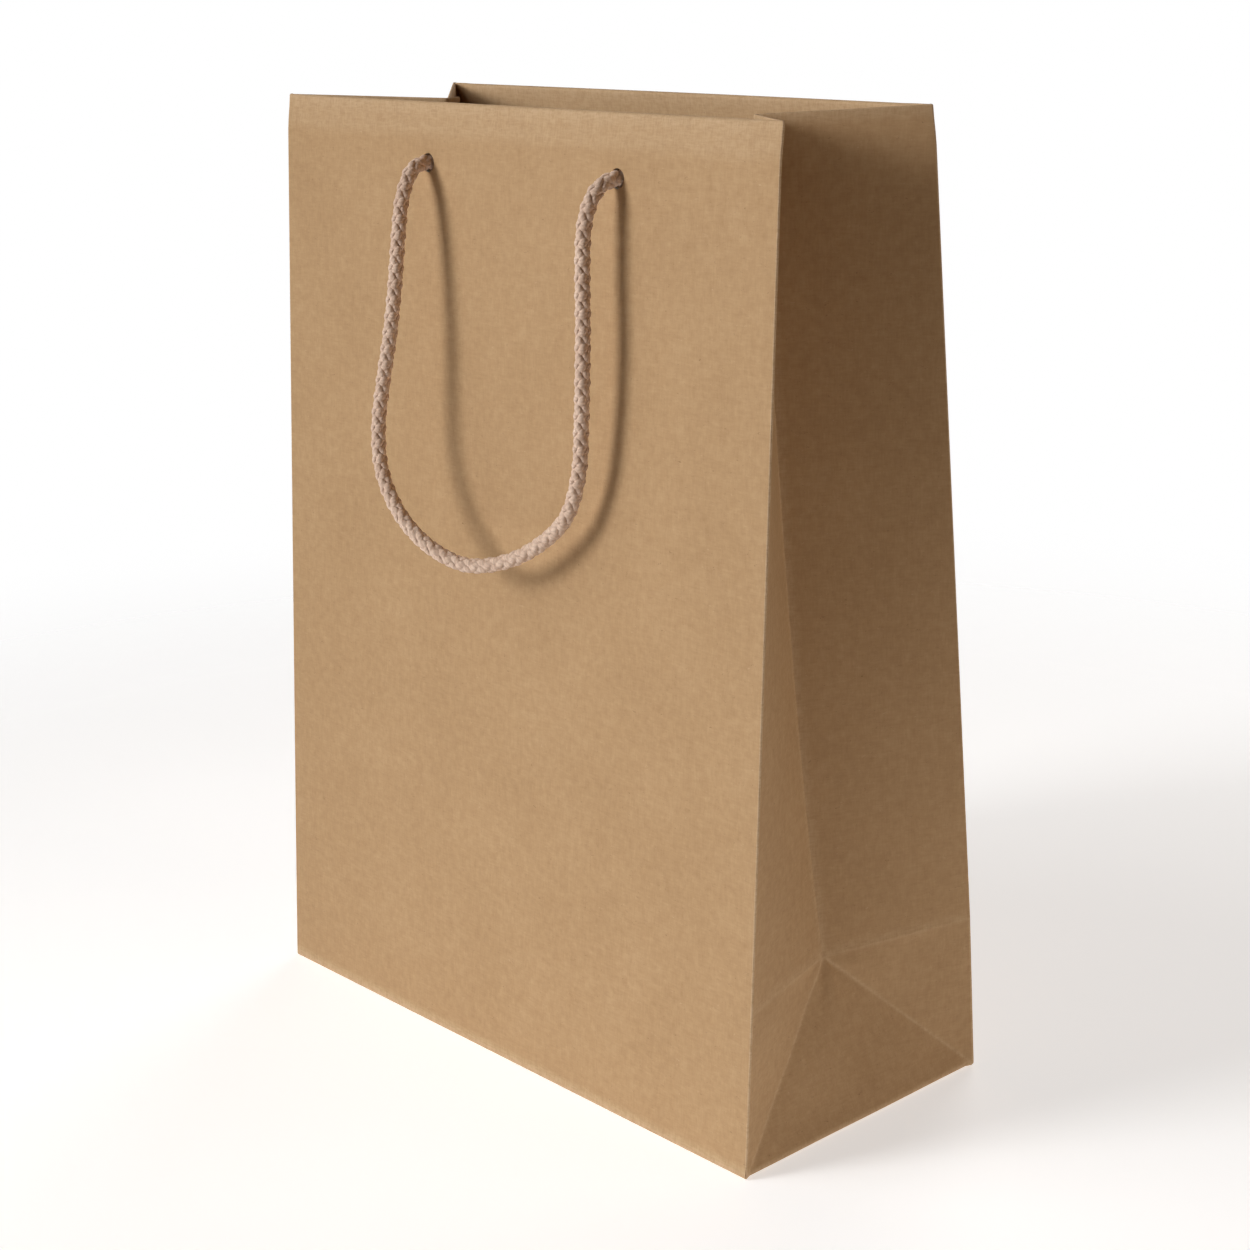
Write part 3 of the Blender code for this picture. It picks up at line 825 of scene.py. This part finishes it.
def wall_profile(end, stack, hem_depth):
    """The sheet from its bottom flap to the end of its hem, as (height up the panel, depth), and how
    many points the flap has."""
    lap = FLAP_LAP / 2
    if end == "front":
        corners = [floor_point(BAG_DEPTH / 2 + lap - GAP, 0)]
        radii = []
        steps = [2 * FLAP_STEPS]
    else:
        over = PAPER + GAP
        corners = [
            floor_point(BAG_DEPTH / 2 + lap, over),
            floor_point(BAG_DEPTH / 2 - lap - OVERLAP_JOG[1], over),
            floor_point(BAG_DEPTH / 2 - lap - OVERLAP_JOG[0], 0),
        ]
        radii = [JOG_RADIUS, JOG_RADIUS]
        steps = [FLAP_STEPS, 1, FLAP_STEPS]
    flap_count = sum(steps) + ARC_STEPS * len(radii)
    top = PANEL_HEIGHT
    corners += [(0, 0), (top, 0), (top, stack), (top - hem_depth, stack)]
    radii += [FOOT_RADIUS, stack / 2, stack / 2]
    line = rounded_line(corners, radii, [*steps, PANEL_STEPS, 1, HEM_STEPS])
    return line, flap_count


def wall_columns():
    """Shares from -1 to 1 across a panel, closer together near its edges."""
    shares = [2 * k / PANEL_COLUMNS - 1 for k in range(PANEL_COLUMNS + 1)]
    close = [1 - d for d in (0.004, 0.010, 0.018, 0.027, 0.045, 0.055, 0.065, 0.085, 0.1)]
    shares += close + [-share for share in close]
    return sorted(set(round(share, 4) for share in shares))


def flap_reach(depth):
    """Half the width of a bottom flap, which draws in behind the bottom fold."""
    return BAG_WIDTH / 2 - FLAP_INSET - FLAP_DRAW * smooth(depth / 0.008)


def wall_point(end, column, height, depth, fold_share):
    """A point of a wall's sheet, and how worn it is, in the panel frame. column is a share across the
    panel, or a side and a step round its fold; fold_share fades the fold out into the bottom flap."""
    if isinstance(column, tuple):
        side, step = column
        fold = side_fold(end, side, max(height, 0))
        point, outward = fold[step]
        flat = Vector((side * (flap_reach(depth) + 0.00006 * step), height, 0))
        point = flat.lerp(point, fold_share)
        outward = Vector((0, 0, 1)).lerp(outward, fold_share).normalized()
        thin = 1 - 0.5 * step / ARC_STEPS
        point = point + Vector((0, 0, wall_shift(end, point.x, height)))
        return point - outward * depth * (thin if fold_share > 0.5 else 1), fold_share
    panel_reach = side_fold(end, 1, max(height, 0))[0][0].x
    x = column * (panel_reach * fold_share + flap_reach(depth) * (1 - fold_share))
    return Vector((x, height, wall_shift(end, x, height) - depth)), 0.0


def add_wall(end, material):
    """The panel with its bottom flap and its hem, one folded sheet."""
    left_fold = [(-1, k) for k in range(ARC_STEPS, 0, -1)]
    right_fold = [(1, k) for k in range(1, ARC_STEPS + 1)]
    columns = left_fold + wall_columns() + right_fold
    place = panel_place(end)
    by_column = []
    for column in columns:
        distance = 0 if isinstance(column, tuple) else (1 - abs(column)) * BAG_WIDTH / 2
        line, flap_count = wall_profile(end, *doubled(distance))
        points = []
        for k, (height, depth) in enumerate(line):
            fold_share = smooth(height / 0.003) if k > flap_count + ARC_STEPS / 2 else 0
            point, worn = wall_point(end, column, height, depth, fold_share)
            at_foot = flap_count <= k <= flap_count + ARC_STEPS
            at_top = PANEL_HEIGHT - height < stack_radius(distance)
            # Painted highlight: the band under the top edge is painted paler, for the light it catches as
            # it tilts back
            band = BAND_PAINTED_HIGHLIGHT * smooth((height - PANEL_HEIGHT + EASE_DEPTH) / BAND_EDGE)
            points.append((place @ point, max(worn, 0.8 * at_foot, 0.55 * at_top, band)))
        by_column.append(points)
    rows = [[points[k][0] for points in by_column] for k in range(len(by_column[0]))]
    wear_and_painted_light = [[points[k][1] for points in by_column] for k in range(len(by_column[0]))]
    name = f"{end}_sheet"
    wall = add_object(name, grid_mesh(name, rows, wear_and_painted_light=wear_and_painted_light), material)
    thicken(wall, PAPER)
    punch(wall, end)
    finish_sheet(wall)
    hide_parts(f"{end}_panel", f"{end}_panel_foot", f"{end}_top_hem", f"{end}_bottom_flap")
    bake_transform(wall)


def add_layer(name, end, left, right, low, high, depth, thickness, material, holes=False):
    """A layer inside a wall that follows the wall's waves. left and right are functions of height."""
    place = panel_place(end)
    columns, rows = 40, 12 if high - low < 0.1 else 60
    grid = []
    for r in range(rows + 1):
        y = low + (high - low) * r / rows
        xs = [left(y) + (right(y) - left(y)) * c / columns for c in range(columns + 1)]
        grid.append([place @ Vector((x, y, wall_shift(end, x, y) - depth)) for x in xs])
    layer = add_object(name, grid_mesh(name, grid), material)
    thicken(layer, thickness)
    if holes:
        punch(layer, end)
    finish_sheet(layer)
    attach(layer, f"{end}_wall")
    return layer


def add_card(end, material):
    def reach(height):
        return edge_distance(end, height) - HEM_START - CARD_MARGIN

    high = PANEL_HEIGHT - CARD_DROP
    card = add_layer(
        f"{end}_card", end, lambda y: -reach(y), reach,
        high - CARD_DEPTH, high, PAPER + GAP, CARD, material, holes=True,
    )
    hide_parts(f"{end}_stiffener_card")


def add_seam_flap(material):
    outer = edge_distance("back", PANEL_HEIGHT) - SEAM_FLAP_MARGIN
    flap = add_layer(
        "seam_flap", "back", lambda y: outer - SEAM_FLAP_WIDTH, lambda y: outer,
        CREASE + GAP, PANEL_HEIGHT - HEM_DEPTH - GAP, PAPER + GAP / 3, PAPER, material,
    )
    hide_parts("glue_seam_flap")


# ---------------------------------------------------------------- gussets


def gusset_wave(share, height):
    """How far the gusset stands out from its ruled surface, at a share of the way to the centre crease."""
    up = (height - CREASE) / (PANEL_HEIGHT - CREASE)
    hollow = math.sin(math.pi * share)
    near_apex = math.exp(-(((1 - share) * 55) ** 2 + (height * 1000 - 55) ** 2) / 260)
    ripple = near_apex * GUSSET_RIPPLE * math.sin(0.34 * (height * 1000 - 55) + 5 * share)
    slow = GUSSET_SWAY * hollow * math.sin(math.pi * up) * math.sin(5.2 * up + 0.6)
    return ripple * min(1, 12 * (1 - share)) * smooth(up * 40) + slow


def gusset_row(end, side, height, place):
    """Points, outward normals and wear across a gusset half at one height, in the row frame."""
    turn = place.to_3x3()
    corner = place @ side_corner(end, side, height)
    crease = place @ crease_point(side, height)
    inward = (crease - corner).normalized()
    mountain = fold_arc(corner, turn @ Vector((side, 0, 0)), inward, FOLD_RADIUS)
    beyond = Vector((-inward.x, inward.y, -inward.z))
    valley = [(p, -n) for p, n in fold_arc(crease, inward, beyond, CREASE_RADIUS)]
    outward = valley[0][1]
    start, stop = mountain[-1][0], valley[0][0]
    ease = turn @ Vector((0, 0, wall_shift(end, side * edge_distance(end, height), height)))
    row = [(p + ease, n, 1.0) for p, n in mountain[ARC_STEPS:-1]]
    for k in range(GUSSET_COLUMNS):
        share = k / GUSSET_COLUMNS
        bulge = outward * gusset_wave(share, height)
        row.append((start.lerp(stop, share) + ease * (1 - share) + bulge, outward, 0.0))
    row += [(p, n, 0.35) for p, n in valley[: ARC_STEPS + 1]]
    if end == "front":
        point, normal = valley[ARC_STEPS]
        rise = max(height - CREASE, 0) / (PANEL_HEIGHT - CREASE)
        lip = CENTRE_LIP_FOOT + (CENTRE_LIP - CENTRE_LIP_FOOT) * rise
        for reach in (0.0004, lip / 2, lip):
            inset = LIP_INSET + CENTRE_LIP_TURN * reach
            row.append((point - normal * inset + beyond * reach, valley[-1][1], 0.0))
    return row


def gusset_profile():
    """A gusset half from its lower crease to the end of its hem, as (height up the panel, depth)."""
    top = PANEL_HEIGHT
    corners = [(CREASE, 0), (top, 0), (top, EDGE_STACK), (top - HEM_DEPTH, EDGE_STACK)]
    return rounded_line(corners, [EDGE_STACK / 2] * 2, [GUSSET_STEPS, 1, HEM_STEPS])


def gusset_points(end, side, height, depth, place):
    """One row of a gusset half's sheet and its wear. Near the vertical fold the hem is shallower, so
    its points are taken from higher up."""
    below_top = max(0, PANEL_HEIGHT - EDGE_STACK / 2 - height) if depth > EDGE_STACK / 2 else 0
    at_top = PANEL_HEIGHT - height < EDGE_STACK / 2
    points, worn = [], []
    for k, (point, outward, wear_here) in enumerate(gusset_row(end, side, height, place)):
        in_fold = k < ARC_STEPS
        distance = max(0, k - ARC_STEPS) / GUSSET_COLUMNS * CREASE
        if below_top > 0:
            lifted = below_top * (1 - doubled(distance)[1] / HEM_DEPTH)
            point, outward, _ = gusset_row(end, side, height + lifted, place)[k]
        thin = 0.5 + 0.5 * k / ARC_STEPS if in_fold else 1
        points.append(point - outward * depth * thin)
        worn.append(max(wear_here, 0.6 * at_top, 0.3 * (height == CREASE)))
    return points, worn


def add_gusset_half(end, side_name, material):
    """One half of an upper gusset with its hem, and a lip behind the lower gusset."""
    side = SIDES[side_name]
    place = panel_place(end)
    rows, wear_and_painted_light = [], []
    inner = [p - n * LIP_INSET for p, n, _ in gusset_row(end, side, CREASE, place)]
    upward = place.to_3x3() @ Vector((0, 1, 0))
    for drop in (LIP, LIP / 2, 0.0003):
        rows.append([p - upward * drop for p in inner])
        wear_and_painted_light.append([0.0] * len(inner))
    for height, depth in gusset_profile():
        points, worn = gusset_points(end, side, height, depth, place)
        rows.append(points)
        wear_and_painted_light.append(worn)
    name = f"{end}_{side_name}_gusset_sheet"
    half = add_object(name, grid_mesh(name, rows, flip=side < 0, wear_and_painted_light=wear_and_painted_light), material)
    thicken(half, PAPER)
    finish_sheet(half)
    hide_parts(f"{end}_{side_name}_gusset_half", f"{end}_{side_name}_gusset_hem")
    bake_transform(half)


def triangle_tilt():
    return math.acos((1 - math.sin(LEAN)) / math.cos(LEAN))


def lower_point(side, across, height):
    """The lower gusset at a distance across the side from the front fold and a height up it: the point,
    its outward normal and its wear."""
    from_edge = min(across, BAG_DEPTH - across)
    end = "front" if across <= CREASE else "back"
    panel_side = side if end == "front" else -side
    crease_share = max(0, 1 - abs(from_edge - height) / 0.0014)
    if from_edge <= height:
        place = panel_place(end)
        angle = gusset_angle(CREASE)
        point = side_corner(end, panel_side, height)
        outset = (abs(point.x) - BAG_WIDTH / 2) * (1 - from_edge / CREASE)
        point.x = panel_side * (BAG_WIDTH / 2 + outset)
        point = point + Vector((-panel_side * math.sin(angle), 0, -math.cos(angle))) * from_edge
        outward = Vector((panel_side * math.cos(angle), 0, -math.sin(angle)))
        return place @ point, place.to_3x3() @ outward, crease_share
    tilt = triangle_tilt()
    x = side * (BAG_WIDTH / 2 - height * math.sin(tilt))
    point = Vector((x, across - BAG_DEPTH / 2, height * math.cos(tilt)))
    return point, Vector((side * math.cos(tilt), 0, math.sin(tilt))), crease_share


def soft_point(side, across, height):
    """The lower gusset with its folded corners rounded off."""
    point, outward, worn = lower_point(side, across, height)
    if abs(min(across, BAG_DEPTH - across) - height) > SOFT:
        return point, outward, worn
    around = [min(max(across + step * SOFT, 0), BAG_DEPTH) for step in (-1, -0.5, 0, 0.5, 1)]
    near = [lower_point(side, place, height) for place in around]
    point = sum((p for p, _, _ in near), Vector()) / len(near)
    return point, sum((n for _, n, _ in near), Vector()).normalized(), worn


def lower_relief(across, height):
    """Soft dents beside the folded corners, and small wrinkles that run out from the apex."""
    from_apex_x = (across - CREASE) * 1000
    from_apex_y = (CREASE - height) * 1000
    near = math.exp(-(from_apex_x**2 + from_apex_y**2) / 300)
    angle = math.atan2(from_apex_x, from_apex_y + 1)
    wrinkle = APEX_WRINKLE * near * math.sin(7 * angle + 0.8)
    slow = CORNER_DENT * math.sin(0.11 * from_apex_x + 0.4) * math.sin(0.13 * from_apex_y + 0.9)
    at_sides = min(1, min(across, BAG_DEPTH - across) / 0.010)
    at_ends = min(1, height / 0.010) * min(1, (CREASE - height) / 0.004)
    return (wrinkle + slow) * max(0, at_sides * at_ends)


def lower_row(side, height):
    """Points and wear across the whole lower gusset at one height, from fold to fold."""
    cell = CREASE / LOWER_CELLS
    front = side_fold("front", side, height)[ARC_STEPS:-1]
    back = side_fold("back", -side, height)[ARC_STEPS:-1]
    row = [(panel_place("front") @ point, 1.0) for point, _ in front]
    for k in range(1, 2 * LOWER_CELLS):
        point, outward, worn = soft_point(side, k * cell, height)
        row.append((point + outward * lower_relief(k * cell, height), 0.5 * worn))
    return row + [(panel_place("back") @ point, 1.0) for point, _ in reversed(back)]


def add_lower_gusset(side_name, material):
    """The folded corners and the base triangle, one sheet, with its fold under the side."""
    side = SIDES[side_name]
    cell = CREASE / LOWER_CELLS
    first = [point for point, _ in lower_row(side, FOOT_LIFT + cell)]
    rows, wear_and_painted_light = [], []
    radius = LOWER_FOLD_RADIUS
    for k in range(FLAP_ROWS):
        reach = FLAP_REACH * (1 - k / FLAP_ROWS)
        level = FOOT_LIFT + (FLAP_LEVEL - FOOT_LIFT) * smooth(reach / 0.0024)
        rows.append([Vector((p.x - side * (reach + radius), p.y * (1 - 12 * reach), level)) for p in first])
        wear_and_painted_light.append([0.2] * len(first))
    for k in range(1, ARC_STEPS + 1):
        angle = math.pi / 2 * k / ARC_STEPS
        inward = side * radius * (1 - math.sin(angle))
        level = FOOT_LIFT + radius * (1 - math.cos(angle))
        rows.append([Vector((p.x - inward, p.y, level)) for p in first])
        wear_and_painted_light.append([0.9] * len(first))
    for k in range(2, LOWER_CELLS + 1):
        row = lower_row(side, k * cell)
        rows.append([point for point, _ in row])
        wear_and_painted_light.append([max(worn, 0.3 * (k == LOWER_CELLS)) for _, worn in row])
    name = f"{side_name}_lower_gusset"
    slants = [c < ARC_STEPS + LOWER_CELLS - 1 for c in range(len(first) - 1)]
    lower = add_object(name, grid_mesh(name, rows, flip=side < 0, wear_and_painted_light=wear_and_painted_light, slants=slants), material)
    thicken(lower, PAPER)
    finish_sheet(lower)
    other = "left" if side_name == "right" else "right"
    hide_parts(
        f"{side_name}_base_triangle",
        f"front_{side_name}_corner_facet", f"back_{other}_corner_facet",
    )
    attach(lower, "base")


# ---------------------------------------------------------------- the bag


def paint_kept_nodes(kraft, card):
    """Detailed materials for the CAD nodes that stay."""
    for name, material in (("left_dust_flap", kraft), ("right_dust_flap", kraft), ("bottom_board", card)):
        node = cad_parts[name]
        node.data.materials.clear()
        node.data.materials.append(material)


def main():
    bpy.context.scene.view_settings.view_transform = "Standard"
    kraft, card, yarn = kraft_paper(), grey_card(), rope_yarn()
    add_camera()
    add_surroundings()
    for end in ("front", "back"):
        add_rope(end, yarn)
        add_wall(end, kraft)
        add_card(end, card)
        for side_name in SIDES:
            add_gusset_half(end, side_name, kraft)
    add_seam_flap(kraft)
    for side_name in SIDES:
        add_lower_gusset(side_name, kraft)
    paint_kept_nodes(kraft, card)


main()
